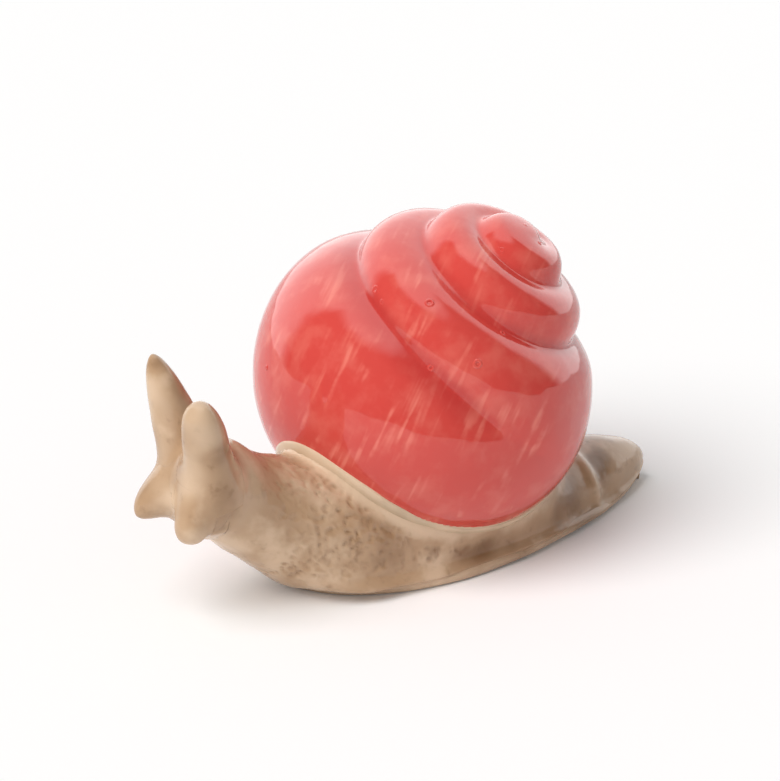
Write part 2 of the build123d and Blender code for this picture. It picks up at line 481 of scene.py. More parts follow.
@dataclass
class FootSole:
    """The slab under the animal, with a rounded, slightly wavy lip."""

    axis_y: float = -2.6
    height: float = 1.8
    front_x: float = -17.0
    widest_x: float = 2.0
    half_width: float = 11.0
    tail_x: float = 35.4
    tail_roundness: float = 0.85
    under_inset: float = 0.8
    tail_inset: float = 1.6
    tail_inset_ramp: float = 12.0
    top_inset: float = 1.2
    least_room: float = 0.12
    wave: float = 0.16
    wave_size: float = 5.0
    wave_lift: float = 0.6
    pool_size: float = 4.0
    pool_noise: float = 0.4
    # Painted light and shade: the lip is lightened towards the front and darkened towards the tail, where
    # shadow gathers under its edge.
    lip_front_painted_light: float = -0.4
    back_darkening: float = 0.3
    lip_painted_light_ramp: tuple[float, float] = (-4.0, 10.0)
    columns: int = 480
    lip_rows: int = 18
    name: str = "glazed_sole"

    def outline(self) -> np.ndarray:
        """Go round the floor outline, from the front tip by the right side to the tail and back.

        The front is a half ellipse. Behind it the width falls as a power of the share that is left.

        Returns:
            Points on the floor.
        """
        turn = np.linspace(0.0, tau, self.columns, endpoint=False)
        ahead = np.cos(turn) > 0
        front = self.widest_x - (self.widest_x - self.front_x) * np.cos(turn)
        behind = self.widest_x - (self.tail_x - self.widest_x) * np.cos(turn)
        narrowing = np.abs(np.sin(turn)) ** np.where(ahead, 1.0, 2 * self.tail_roundness)
        across = self.half_width * narrowing * np.sign(np.sin(turn))
        return np.stack([np.where(ahead, front, behind), self.axis_y + across], -1)

    def build(self) -> bpy.types.Object:
        """Carry the lip's profile round the outline.

        The profile is a bulge that runs from underside to top as a half turn. Its underside is drawn in
        further towards the tail, and noise makes it wavy.

        Returns:
            The sole's mesh.
        """
        outline = self.outline()
        run = np.roll(outline, -1, axis=0) - np.roll(outline, 1, axis=0)
        inward = np.stack([run[:, 1], -run[:, 0]], -1)
        inward /= np.linalg.norm(inward, axis=-1, keepdims=True)
        middle = np.array([self.widest_x, self.axis_y])
        inward *= np.sign(np.sum(inward * (middle - outline), axis=-1, keepdims=True))
        half_room = np.abs(outline[:, 1] - self.axis_y)
        room = np.clip(half_room / (2 * self.top_inset), self.least_room, 1.0)
        turn = np.linspace(-np.pi / 2, np.pi / 2, self.lip_rows)[:, None]
        towards_tail = smooth_step((outline[:, 0] - self.widest_x) / self.tail_inset_ramp)
        under = self.under_inset + self.tail_inset * towards_tail
        inset = np.where(turn < 0, under, self.top_inset) * (1 - np.cos(turn)) * room
        lift = self.height * (1 + np.sin(turn)) / 2
        spots = np.concatenate([outline, np.zeros((self.columns, 1))], -1)
        wave = self.wave * soft_noise(spots, self.wave_size, Draw.LIP_WAVE) * room
        flat = outline + (inset + self.wave + wave)[..., None] * inward
        lift = lift * (1 + self.wave_lift * wave * (lift > 0))
        rings = np.concatenate([flat, np.broadcast_to(lift, flat.shape[:2])[..., None]], -1)
        poles = np.array([[*middle, 0.0], [*middle, self.height]])
        # Painted light and shade along the lip: lighter towards the front, darker towards the tail.
        share = ramp(rings[..., 0], self.lip_painted_light_ramp)
        pool_and_painted_light = self.pool_noise * soft_noise(rings, self.pool_size, Draw.SOLE_POOL)
        pool_and_painted_light = pool_and_painted_light + self.lip_front_painted_light + (self.back_darkening - self.lip_front_painted_light) * share
        return mesh_piece(self.name, [Island(rings, poles, {"pool_and_painted_light": pool_and_painted_light})])


class Station(NamedTuple):
    """One upright section across the body: where it is and how it swells."""

    x: float
    top: float
    middle: float
    bottom: float
    half_width: float
    fullness: float


class Stain(NamedTuple):
    """A soft round spot: glaze that pools brown, or breaks cream with a strength below zero, or a dent. The
    body's spots are painted shade and painted light.
    """

    x: float
    y: float
    z: float
    reach: float
    strength: float

    def over(self, points: np.ndarray) -> np.ndarray:
        """The spot's strength at points, times a bell curve of the distance."""
        away = np.linalg.norm(points - np.array([self.x, self.y, self.z]), axis=-1) / self.reach
        return self.strength * np.exp(-(away**2))


HEAD_STAINS = (
    Stain(-31.4, -8.5, 21.6, 1.6, 0.8),
    Stain(-31.6, 1.6, 29.4, 1.1, 0.9),
    Stain(-30.4, 0.8, 26.6, 1.0, 0.8),
    Stain(-30.5, -6.2, 12.6, 1.0, 1.0),
)
HEAD_TONE_SIZE = 3.0
HEAD_TONE_NOISE = 0.6
HEAD_TONE_LEVEL = -0.3
FINGER_MARK_SIZE = 2.4
FINGER_MARK_HEIGHT = 0.12


def head_tone(points: np.ndarray) -> np.ndarray:
    """How glaze pools over head and tentacles: soft noise and the head's brown spots."""
    noise = HEAD_TONE_NOISE * soft_noise(points, HEAD_TONE_SIZE, Draw.HEAD_TONE)
    return noise + HEAD_TONE_LEVEL + sum(stain_and_painted_light.over(points) for stain_and_painted_light in HEAD_STAINS)


def finger_marks(points: np.ndarray) -> np.ndarray:
    """Height of the marks that fingers left on head and tentacles, as soft noise."""
    return FINGER_MARK_HEIGHT * soft_noise(points, FINGER_MARK_SIZE, Draw.FINGER_MARK)


class Form(Protocol):
    """A form of clay that others can be joined to."""

    def distance(self, points: np.ndarray) -> np.ndarray:
        """Distances from points to the form's surface, below zero inside."""


@dataclass(frozen=True)
class ClayJoint:
    """How clay flows from one form to another where they meet."""

    width: float = 0.7
    most: float = 1.8
    sink: float = 0.35
    farthest: float = 30.0
    steps: int = 14

    def melt(self, points: np.ndarray, normals: np.ndarray, forms: Sequence[Form]) -> np.ndarray:
        """Find how far a skin moves out where it meets other forms.

        All skins move to the same surface: there the logarithm of the summed exponentials of the
        distances to all forms, over the width, is zero. It is found by stepping along the normals. Past
        the place where another form is nearer, a skin sinks a little under that form's own.

        Args:
            points: Points of the skin.
            normals: Directions outwards at the points.
            forms: The other forms.

        Returns:
            The way that each point moves.
        """
        lift = np.zeros(points.shape[:-1])
        for _ in range(self.steps):
            moved = points + normals * lift[..., None]
            away = np.stack([lift, *(form.distance(moved) for form in forms)]) / self.width
            held = np.clip(away, -self.farthest, self.farthest)
            joined = -self.width * np.log(np.sum(np.exp(-held), axis=0))
            lift = np.clip(lift - joined, 0.0, self.most)
        past = lift / self.width - away[1:].min(axis=0)
        return lift - self.sink * smooth_step(past)


@dataclass
class Body:
    """Back, tail ridge, neck and head, as one skin over upright sections."""

    axis_y: float = -2.6
    stations: tuple[Station, ...] = (
        Station(-28.7, 20.6, 15.8, 9.6, 5.0, 0.5),
        Station(-25.3, 20.3, 12.8, 6.5, 5.5, 0.5),
        Station(-21.5, 17.7, 9.8, 3.3, 6.0, 0.5),
        Station(-18.0, 16.4, 7.5, 0.8, 7.2, 0.48),
        Station(-13.0, 15.0, 5.4, 0.4, 8.7, 0.42),
        Station(-8.0, 13.4, 4.4, 0.4, 9.4, 0.37),
        Station(-2.0, 11.4, 4.0, 0.4, 10.0, 0.34),
        Station(6.0, 10.2, 4.0, 0.4, 9.9, 0.34),
        Station(14.0, 8.9, 3.8, 0.4, 8.7, 0.42),
        Station(22.5, 7.8, 3.0, 0.4, 6.3, 0.5),
    )
    nose_length: float = 3.8
    tail_length: float = 13.0
    tail_narrowing: float = 0.7
    tail_bluntness: float = 6.0
    tail_fullness: float = 0.55
    upright_ramp: tuple[float, float] = (-20.0, -12.0)
    neck_power: float = 2.0
    upright_power: float = 8.0
    flare: float = 1.0
    flare_low: float = 2.6
    head_ramp: tuple[float, float] = (-21.0, -26.0)
    pitted_front: tuple[float, float] = (-25.0, -20.0)
    pitted_back: tuple[float, float] = (6.0, -2.0)
    pitted_low: tuple[float, float] = (2.2, 4.2)
    pit_size: float = 0.88
    pit_depth: float = 0.2
    pit_reach: tuple[float, float] = (0.6, 0.1)
    pit_least: float = 0.08
    pit_bend: float = 0.5
    pit_bend_size: float = 1.1
    patch_size: float = 5.0
    patch_level: float = 0.8
    patch_noise: float = 0.7
    grain_size: float = 0.9
    grain_height: float = 0.07
    # Painted light: the body is made creamier towards the front.
    front_painted_light: float = 0.15
    front_painted_light_ramp: tuple[float, float] = (6.0, -6.0)
    band_start: float = 0.3
    band_width: float = 2.2
    band_cream: float = 0.9
    lump_size: float = 7.0
    lump_height: float = 0.28
    crest_x: float = 22.4
    crest_z: float = 7.0
    crest_slant: float = 0.22
    crest_width: float = 0.8
    crest_height: float = 0.4
    crest_side: tuple[float, float] = (-3.5, -5.5)
    crest_low: tuple[float, float] = (1.0, 3.0)
    spot_edge_size: float = 2.2
    spot_level: float = 0.7
    spot_noise: float = 0.6
    pit_pool: float = 0.75
    lump_pool: float = -0.25
    grain_pool: float = -0.2
    crest_pool: float = -0.9
    joint: ClayJoint = ClayJoint()
    # Painted shade and light: the brown spots along the near flank, under the shell's edge, stand in for
    # shade; the cream spots on the neck's front, low at the front and at the tail end stand in for light.
    painted_shade_and_light_spots: tuple[Stain, ...] = (
        Stain(-4.0, -12.6, 4.4, 1.8, 0.7),
        Stain(-0.5, -12.6, 3.8, 2.0, 1.0),
        Stain(3.0, -12.6, 3.6, 2.2, 1.4),
        Stain(8.0, -12.2, 4.0, 2.2, 1.0),
        Stain(13.5, -11.0, 4.2, 3.2, 1.0),
        Stain(18.5, -9.4, 5.0, 2.8, 0.9),
        Stain(25.5, -6.4, 5.6, 2.8, 1.2),
        Stain(-11.5, -11.6, 5.4, 2.0, 0.5),
        Stain(-22.0, -6.5, 5.5, 5.0, -0.8),
        Stain(-16.0, -9.0, 3.0, 3.6, -0.3),
        Stain(31.0, -2.0, 6.0, 3.0, -0.8),
    )
    columns: int = 256
    nose_rows: int = 50
    back_rows: int = 250
    tail_rows: int = 70
    name: str = "glazed_body"

    def section(self, x: np.ndarray) -> Station:
        """The sizes of the sections at places along the back, by smooth curves through the stations."""
        table = np.array(self.stations)
        return Station(x, *(smooth_through(x, table[:, 0], column) for column in table.T[1:]))

    def height_at(self, x: np.ndarray, y: np.ndarray) -> np.ndarray:
        """Find the height of the back above a place.

        It is the section's swell: one less the squared share of its half width, raised to the fullness.

        Args:
            x: Places along the figure.
            y: Places across it.

        Returns:
            Heights, and a depth below the floor where the body is narrower than y.
        """
        at = self.section(x)
        left = 1 - ((y - self.axis_y) / at.half_width) ** 2
        swell = at.middle + (at.top - at.middle) * np.maximum(left, 0.0) ** at.fullness
        return np.where(left > 0, swell, BELOW_FLOOR)

    def distance(self, points: np.ndarray) -> np.ndarray:
        """Measure roughly from points to the skin, section by section, with the nose as an ellipsoid.

        It is the share of the way out less one, over how fast that share grows.

        Args:
            points: Points in millimetres.

        Returns:
            Distances, below zero inside.
        """
        x, y, z = np.moveaxis(points, -1, 0)
        at = self.section(x)
        tall = np.where(z > at.middle, at.top - at.middle, at.middle - at.bottom)
        reach = np.stack([np.broadcast_to(self.nose_length, x.shape), at.half_width, tall])
        away = np.stack([np.maximum(self.stations[0].x - x, 0.0), y - self.axis_y, z - at.middle]) / reach
        share = np.linalg.norm(away, axis=0) + 1e-6
        return (share - 1) * share / (np.linalg.norm(away / reach, axis=0) + 1e-6)

    def rings(self) -> tuple[np.ndarray, np.ndarray]:
        """Lay sections from nose to tail, with the nose drawn in as a quarter ellipse.

        Above its middle a section swells as an ellipse of some fullness. Below, it is round at the neck
        and nearly upright behind it, where it flares to the sole's lip as a squared sine. The tail
        narrows evenly to a blunt end.

        Returns:
            The points of the rings, and the two poles that close them.
        """
        nose = np.linspace(0.0, np.pi / 2, self.nose_rows + 1)[1:-1]
        tail = np.sin(np.linspace(0.0, np.pi / 2, self.tail_rows + 1)[1:-1])
        first, last = self.stations[0], self.stations[-1]
        back = np.linspace(first.x, last.x, self.back_rows)
        x = np.concatenate(
            [first.x - self.nose_length * np.cos(nose), back, last.x + self.tail_length * tail]
        )
        at = self.section(x)
        ones = np.ones(self.back_rows)
        blunt = np.sqrt(1 - tail**self.tail_bluntness)
        tall = np.concatenate([np.sin(nose), ones, (1 - tail**2) ** self.tail_fullness])
        wide = np.concatenate([np.sin(nose), ones, (1 - self.tail_narrowing * tail) * blunt])
        around = np.linspace(0.0, tau, self.columns, endpoint=False)
        rise = np.abs(np.sin(around))[None, :]
        above = (at.top - at.middle)[:, None] * rise ** (2 * at.fullness[:, None])
        below = (at.bottom - at.middle)[:, None] * rise
        upper = np.sin(around) >= 0
        lift = np.where(upper, above, below) * tall[:, None]
        upright = ramp(x, self.upright_ramp)[:, None]
        power = self.neck_power + (self.upright_power - self.neck_power) * upright
        under = np.sqrt(1 - np.minimum(rise, 1.0) ** power) * at.half_width[:, None]
        under = under + self.flare * upright * np.sin(np.pi * rise**self.flare_low) ** 2
        across = np.where(upper, at.half_width[:, None] * np.abs(np.cos(around)), under) * wide[:, None]
        y = self.axis_y + across * np.sign(np.cos(around))
        z = at.middle[:, None] + lift
        points = np.stack([np.broadcast_to(x[:, None], z.shape), y, z], -1)
        poles = np.array(
            [
                [first.x - self.nose_length, self.axis_y, first.middle],
                [last.x + self.tail_length, self.axis_y, last.middle],
            ]
        )
        return points, poles

    def pits(self, rings: np.ndarray, flank: np.ndarray, head: np.ndarray) -> np.ndarray:
        """Sink pits round seeds scattered in the clay, in patches, mostly on the flank.

        Places are bent by noise first, so that no pit is round.

        Args:
            rings: Points of the skin.
            flank: One on the flank and zero elsewhere.
            head: One on the head and zero behind it.

        Returns:
            One in the middle of a pit and zero outside.
        """
        bends = [soft_noise(rings, self.pit_bend_size, Draw.PIT_BEND + k) for k in range(3)]
        bent = rings + self.pit_bend * np.stack(bends, -1)
        pits = ramp(cell_distance(bent, self.pit_size, Draw.PIT), self.pit_reach)
        noise = soft_noise(rings, self.patch_size, Draw.PIT_PATCH)
        patch = smooth_step(self.patch_level + self.patch_noise * noise)
        return pits * (self.pit_least * (1 - head) + (1 - self.pit_least) * flank) * patch

    def crest(self, rings: np.ndarray) -> np.ndarray:
        """Raise a slanting crest across the tail's near flank, as a bell curve.

        Args:
            rings: Points of the skin.

        Returns:
            One on the crest and zero away from it.
        """
        x, y, z = np.moveaxis(rings, -1, 0)
        lean = x - self.crest_x - self.crest_slant * (self.crest_z - z)
        bell = np.exp(-((lean / self.crest_width) ** 2))
        return bell * ramp(y, self.crest_side) * ramp(z, self.crest_low)

    def build(self, tentacles: Sequence[Form], shell: Form) -> bpy.types.Object:
        """Skin the sections, melt them to tentacles and shell, and work the clay.

        Pits, lumps, grain and a crest move the skin along its normals, and say where the glaze pools. Spots
        and a cream ramp towards the front add painted shade and light.

        Args:
            tentacles: The stalks and feelers that grow out of the head.
            shell: The ball that sits on the back.

        Returns:
            The body's mesh, with the value that says where glaze pools and where light and shade are
            painted.
        """
        rings, poles = self.rings()
        normals = ring_normals(rings)
        rings = rings + normals * self.joint.melt(rings, normals, [*tentacles, shell])[..., None]
        x, _, z = np.moveaxis(rings, -1, 0)
        head = ramp(x, self.head_ramp)
        band = 1 - smooth_step((shell.distance(rings) - self.band_start) / self.band_width)
        flank = ramp(x, self.pitted_front) * ramp(x, self.pitted_back)
        flank = flank * ramp(z, self.pitted_low) * (1 - band)
        pits, crest = self.pits(rings, flank, head), self.crest(rings)
        grain = flank * soft_noise(rings, self.grain_size, Draw.GRAIN)
        fine_lumps = soft_noise(rings, self.lump_size / 3, Draw.FINE_LUMP) / 2
        lumps = soft_noise(rings, self.lump_size, Draw.LUMP) + fine_lumps
        lift = self.lump_height * lumps / 2 * (1 - head) + finger_marks(rings) * head
        lift = lift - self.pit_depth * pits + self.grain_height * grain + self.crest_height * crest
        rings = rings + normals * lift[..., None]
        # Painted shade and light from the body's spots, with noisy edges.
        edge = soft_noise(rings, self.spot_edge_size, Draw.SPOT_EDGE)
        stain_and_painted_light = sum(stain_and_painted_light.over(rings) for stain_and_painted_light in self.painted_shade_and_light_spots)
        stain_and_painted_light = stain_and_painted_light * (self.spot_level + self.spot_noise * edge)
        # Painted light: cream that grows towards the front, added to the cream band beside the shell.
        cream = self.front_painted_light * ramp(x, self.front_painted_light_ramp) + self.band_cream * band
        pool_and_painted_light = self.pit_pool * pits + self.lump_pool * lumps + self.grain_pool * grain
        pool_and_painted_light = pool_and_painted_light + self.crest_pool * crest + stain_and_painted_light - cream
        pool_and_painted_light = np.clip(pool_and_painted_light * (1 - head) + head_tone(rings) * head, -1.0, 1.0)
        return mesh_piece(self.name, [Island(rings, poles, {"pool_and_painted_light": pool_and_painted_light})])


@dataclass(frozen=True)
class Tentacle:
    """An eye stalk or a feeler: a round profile along a slightly bent path, blended into the head."""

    name: str
    root: tuple[float, float, float]
    tip: tuple[float, float, float]
    bend: tuple[float, float, float]
    base_radius: float
    neck_radius: float
    rounding: float
    bluntness: float
    dent: Stain | None = None
    joint: ClayJoint = ClayJoint()
    first_angle: float = 0.02
    columns: int = 72
    rows: int = 110

    def radius(self, share: np.ndarray) -> np.ndarray:
        """Radius along the path: a rounded end as a superellipse, then an even flare down to the base."""
        length = np.linalg.norm(np.subtract(self.tip, self.root))
        down = np.clip(1 - share, 0.0, 1.0) * length
        left = 1 - np.clip(down / self.rounding, 0.0, 1.0)
        flare = np.maximum(down - self.rounding, 0.0) / max(length - self.rounding, 0.1)
        swell = (1 - left**self.bluntness) ** (1 / self.bluntness)
        return self.neck_radius * swell + (self.base_radius - self.neck_radius) * flare

    def distance(self, points: np.ndarray) -> np.ndarray:
        """Measure from points to the surface about the bent line from root to tip.

        Args:
            points: Points in millimetres.

        Returns:
            Distances, below zero inside.
        """
        root, line = np.array(self.root), np.subtract(self.tip, self.root)
        share = np.clip((points - root) @ line / (line @ line), 0.0, 1.0)
        pull = (4 * share * (1 - share))[..., None] * np.array(self.bend)
        reach = np.linalg.norm(points - root - share[..., None] * line - pull, axis=-1)
        return reach - self.radius(share)

    def build(self, others: Sequence[Form]) -> bpy.types.Object:
        """Carry circles along the path to its rounded tip, and blend them to the forms beside them.

        The path is a parabola from root to tip, pulled aside by the bend at its middle.

        Args:
            others: The body and the other tentacles.

        Returns:
            The tentacle's mesh.
        """
        root, tip, bend = (np.array(value, float) for value in (self.root, self.tip, self.bend))
        share = np.sin(np.linspace(self.first_angle, np.pi / 2, self.rows + 1)[:-1])
        girth = self.radius(share)
        middle = root + share[:, None] * (tip - root) + (4 * share * (1 - share))[:, None] * bend
        along = (tip - root) + (4 * (1 - 2 * share))[:, None] * bend
        along /= np.linalg.norm(along, axis=-1, keepdims=True)
        side = np.cross(along, np.array([1.0, 0.0, 0.0]))
        side /= np.linalg.norm(side, axis=-1, keepdims=True)
        other = np.cross(along, side)
        around = np.linspace(0.0, tau, self.columns, endpoint=False)[None, :, None]
        circle = np.cos(around) * side[:, None] + np.sin(around) * other[:, None]
        rings = middle[:, None] + girth[:, None, None] * circle
        lumps = finger_marks(rings)
        sunk = self.dent.over(rings) if self.dent else 0.0
        lift = self.joint.melt(rings, circle, others) + lumps * np.minimum(girth, 1.0)[:, None] - sunk
        rings = rings + circle * lift[..., None]
        pool_and_painted_light = np.clip(head_tone(rings), -1.0, 1.0)
        return mesh_piece(self.name, [Island(rings, np.stack([root, tip]), {"pool_and_painted_light": pool_and_painted_light})])


class Pinhole(NamedTuple):
    """A small crater in the shell's glaze: its turn about the axis, its angle from the apex, its radius."""

    turn: float
    polar: float
    radius: float


@dataclass(frozen=True)
class CraterProfile:
    """Rise and fall of the glaze round a pinhole, in shares of the pinhole's radius."""

    outer: float = 2.2
    inner: float = 0.15
    rim_height: float = 0.24
    rim_place: float = 0.95
    rim_width: float = 0.45
    skirt_depth: float = 0.4
    skirt_ramp: tuple[float, float] = (1.2, 2.2)
    # Painted shade: how the middle darkens where the pinhole's hollow would be.
    painted_hole_shade_ramp: tuple[float, float] = (0.85, 0.5)
    root_depth: float = 1.2
    rows: int = 14
    columns: int = 20

    def shares(self) -> np.ndarray:
        """Distances of the rings from the middle, from the outside in."""
        return np.linspace(self.outer, self.inner, self.rows)

    def heights(self) -> np.ndarray:
        """Heights of the rings: a bell curve for the rim, less a skirt that dips under the glaze."""
        away = (self.shares() - self.rim_place) / self.rim_width
        return self.rim_height * np.exp(-(away**2)) - self.skirt_depth * ramp(self.shares(), self.skirt_ramp)


@dataclass
class Shell:
    """The ball of the shell, wound by one spiral groove from its apex to the body whorl."""

    centre: tuple[float, float, float] = (4.0, 0.0, 20.1)
    radius: float = 20.0
    flatness: float = 0.9
    base_flatness: float = 0.88
    spire_rise: float = 0.25
    spire_sharpness: int = 8
    tilt: float = 31.0
    lean: float = -47.0
    groove_phase: float = -9.0
    groove_pitch: float = 10.6
    groove_growth: float = 0.75
    groove_start: float = 0.2
    groove_rise: float = 0.5
    groove_end: float = 3.5
    groove_fade: float = 0.2
    groove_depth: float = 1.8
    groove_sharpness: float = 2.3
    apex_polar: float = 11.0
    groove_full_turns: float = 3.0
    groove_depth_growth: float = 0.28
    groove_round: float = 1.2
    droop_turn: float = 3.2
    droop_rate: float = 200.0
    shoulder: float = 36.0
    shoulder_ramp: float = 0.5
    most_turns: int = 6
    least_half: float = 1.0
    least_lower_half: float = 4.0
    ripple: float = 0.08
    ripple_size: float = 6.5
    fine_ripple_size: float = 2.6
    fine_ripple_share: float = 0.3
    bulge: float = 0.05
    bulge_focus: float = 6.0
    bulge_place: tuple[float, float, float] = (-0.83, 0.45, -0.35)
    stroke_across: tuple[float, float, float] = (0.63, -0.67, -0.39)
    stroke_along: tuple[float, float, float] = (0.53, 0.0, 0.85)
    rim_reach: float = 2.6
    seam_step: int = 4
    wear_place: tuple[float, float, float] = (-0.72, -0.68, 0.1)
    wear_ramp: tuple[float, float] = (0.2, 0.8)
    wear_least: float = 0.45
    crater: CraterProfile = CraterProfile()
    crater_tilt_step: float = 0.6
    pinholes: tuple[Pinhole, ...] = (
        Pinhole(0.15, 53.0, 0.34),
        Pinhole(0.17, 54.0, 0.26),
        Pinhole(0.217, 43.0, 0.4),
        Pinhole(0.307, 51.4, 0.4),
        Pinhole(0.265, 60.6, 0.3),
        Pinhole(0.119, 106.0, 0.22),
        Pinhole(0.465, 6.0, 0.24),
        Pinhole(0.33, 36.0, 0.26),
        Pinhole(0.244, 13.0, 0.26),
    )
    columns: int = 340
    fine_polar: float = 110.0
    fine_rows: int = 230
    coarse_rows: int = 34
    name: str = "glazed_shell"

    def axes(self) -> tuple[np.ndarray, np.ndarray, np.ndarray]:
        """The uphill direction, the one across it, and the axis through the apex."""
        tilt, lean = radians(self.tilt), radians(self.lean)
        axis = np.array([sin(tilt) * cos(lean), sin(tilt) * sin(lean), cos(tilt)])
        uphill = np.array([-cos(tilt) * cos(lean), -cos(tilt) * sin(lean), sin(tilt)])
        return uphill, np.cross(axis, uphill), axis

    def groove_polar(self, turn: np.ndarray) -> np.ndarray:
        """Polar angle of the even spiral after a number of turns: it grows with them and with their cube."""
        held = np.maximum(turn, 0.0)
        return self.groove_pitch * held + self.groove_growth * held**3

    def groove_place(self, turn: np.ndarray) -> np.ndarray:
        """Polar angle of the groove itself, which sinks with the square of the turns where it runs out."""
        late = np.clip(turn - self.droop_turn, 0.0, self.groove_end - self.droop_turn)
        return self.groove_polar(turn) + self.droop_rate * late**2

    def depth(self, turn: np.ndarray) -> np.ndarray:
        """Depth of the groove along its turns: it fades in at the apex, deepens slowly and fades out."""
        grown = np.clip(turn / self.groove_full_turns, 0.0, 1.0) ** self.groove_depth_growth
        fade_in = smooth_step((turn - self.groove_start) / self.groove_rise)
        fade_out = 1 - smooth_step((turn - self.groove_end + self.groove_fade) / self.groove_fade)
        return self.groove_depth * grown * fade_in * fade_out

    def closeness(self, angle: np.ndarray, half: np.ndarray) -> np.ndarray:
        """One at the groove and zero half a whorl away, with the cusp rounded as a hyperbola."""
        eased = np.sqrt(np.maximum(angle, 0.0) ** 2 + self.groove_round**2) - self.groove_round
        return 1 - np.clip(eased / half, 0.0, 1.0)

    def swell(self, around: np.ndarray, polar: np.ndarray) -> tuple[np.ndarray, np.ndarray]:
        """Find the distance of the surface from the centre, and how near the groove is.

        The ball is raised towards the apex by a power of the polar cosine. From it, each whorl falls
        away to the groove above and the groove below it with a power of its closeness.

        Args:
            around: Angle about the axis, in radians.
            polar: Angle from the apex, in degrees.

        Returns:
            The distances and the closeness, from 0 to 1.
        """
        height = np.maximum(np.cos(np.radians(polar)), 0.0)
        ball = self.radius * (1 + self.spire_rise * height**self.spire_sharpness)
        phase = np.mod(around / tau - self.groove_phase / 360, 1.0)
        turns = phase[..., None] + np.arange(self.most_turns)
        passed = np.sum(self.groove_place(turns) <= polar[..., None], axis=-1)
        upper = phase + passed - 1
        whorl = self.groove_polar(upper + 1) - self.groove_polar(upper)
        half = np.maximum(whorl / 2, self.least_half)
        widen = smooth_step((upper + 1 - self.groove_end) / self.shoulder_ramp)
        upper_half = half + np.maximum(self.shoulder - half, 0.0) * widen
        below = self.groove_place(upper + 1)
        lower_half = np.maximum((below - self.groove_polar(upper)) / 2, self.least_lower_half)
        from_above = self.closeness(polar - self.groove_place(upper), upper_half)
        from_below = self.closeness(below - polar, lower_half)
        fall_above, fall_below = self.depth(upper), self.depth(upper + 1)
        fall = fall_above * from_above**self.groove_sharpness
        fall = fall + fall_below * from_below**self.groove_sharpness
        fall = fall * smooth_step(polar / self.apex_polar)
        near = np.maximum(from_above * fall_above, from_below * fall_below) / self.groove_depth
        return ball - fall, near

    def girth(self, heading: np.ndarray) -> np.ndarray:
        """Radius of the smooth ball in a direction: an ellipsoid's about the axis, times the fullness."""
        level = heading @ self.axes()[2]
        flat = np.where(level > 0, self.flatness, self.base_flatness)
        return self.radius * self.fullness(heading) / np.sqrt(1 - level**2 + (level / flat) ** 2)

    def distance(self, points: np.ndarray) -> np.ndarray:
        """Measure from points to the smooth ball along the line to its centre, below zero inside."""
        away = points - np.array(self.centre)
        reach = np.linalg.norm(away, axis=-1)
        return reach - self.girth(away / reach[..., None])

    def fullness(self, heading: np.ndarray) -> np.ndarray:
        """How much fuller the ball is over the neck: an exponential of the cosine to the bulge's middle."""
        return 1 + self.bulge * np.exp(self.bulge_focus * (heading @ np.array(self.bulge_place) - 1))

    def points(self, around: np.ndarray, polar: np.ndarray, reach: np.ndarray) -> np.ndarray:
        """Lay points at a distance from the centre, flattened along the axis.

        Args:
            around: Angle about the axis, in radians.
            polar: Angle from the apex, in degrees.
            reach: Distance from the centre before the flattening.

        Returns:
            Points in millimetres.
        """
        uphill, across, axis = self.axes()
        out = (reach * np.sin(np.radians(polar)))[..., None]
        flat = np.where(polar < 90, self.flatness, self.base_flatness)
        up = (flat * reach * np.cos(np.radians(polar)))[..., None]
        ring = np.cos(around)[..., None] * uphill + np.sin(around)[..., None] * across
        spread = out * ring + up * axis
        heading = spread / np.linalg.norm(spread, axis=-1, keepdims=True)
        return np.array(self.centre) + spread * self.fullness(heading)[..., None]

    def dressing(self, rings: np.ndarray, groove_and_painted_hole_shade: np.ndarray, seam: np.ndarray) -> dict[str, np.ndarray]:
        """Work out what the glaze needs to know at points of the shell.

        Args:
            rings: Points of the shell.
            groove_and_painted_hole_shade: How near the groove is, and in a crater the painted shade of its
                middle.
            seam: Points of the line where the shell meets the body.

        Returns:
            Places across and along the brush strokes, places across and along the sweeps by the rim,
            closeness to the groove (in a crater, the painted shade of its middle), closeness to the rim, and
            how much the strokes show.
        """
        beside = np.cross(self.stroke_across, self.stroke_along)
        brush = rings @ np.stack([self.stroke_across, self.stroke_along, beside], -1)
        away = np.full(rings.shape[:2], np.inf)
        for spot in seam[:: self.seam_step]:
            away = np.minimum(away, np.linalg.norm(rings - spot, axis=-1))
        turn = np.arctan2(rings[..., 1] - self.centre[1], rings[..., 0] - self.centre[0])
        sweep = np.stack([away, self.radius * np.cos(turn), self.radius * np.sin(turn)], -1)
        facing = (rings - np.array(self.centre)) @ np.array(self.wear_place) / self.radius
        wear = self.wear_least + (1 - self.wear_least) * ramp(facing, self.wear_ramp)
        rim = 1 - np.clip(away / self.rim_reach, 0, 1)
        return {"brush": brush, "sweep": sweep, "groove_and_painted_hole_shade": groove_and_painted_hole_shade, "rim": rim, "wear": wear}

    def craters(self, seam: np.ndarray) -> list[Island]:
        """Set a small raised ring of glaze round each pinhole, on the tangent plane at its place, with
        painted shade in its middle.

        Two small steps from the place, about the axis and away from the apex, give the plane.

        Args:
            seam: Points of the line where the shell meets the body.

        Returns:
            One island for each pinhole.
        """
        turn, polar, radii = np.array(self.pinholes).T
        around = tau * (turn + self.groove_phase / 360)
        step = self.crater_tilt_step
        spot, aside, lower = (
            self.points(turned, angle, self.swell(turned, angle)[0])
            for turned, angle in ((around, polar), (around + radians(step), polar), (around, polar + step))
        )
        first = aside - spot
        normal = np.cross(lower - spot, first)
        normal *= np.sign(np.sum(normal * (spot - np.array(self.centre)), axis=-1, keepdims=True))
        normal, first = (v / np.linalg.norm(v, axis=-1, keepdims=True) for v in (normal, first))
        second = np.cross(normal, first)
        share, height = self.crater.shares()[:, None, None], self.crater.heights()[:, None, None]
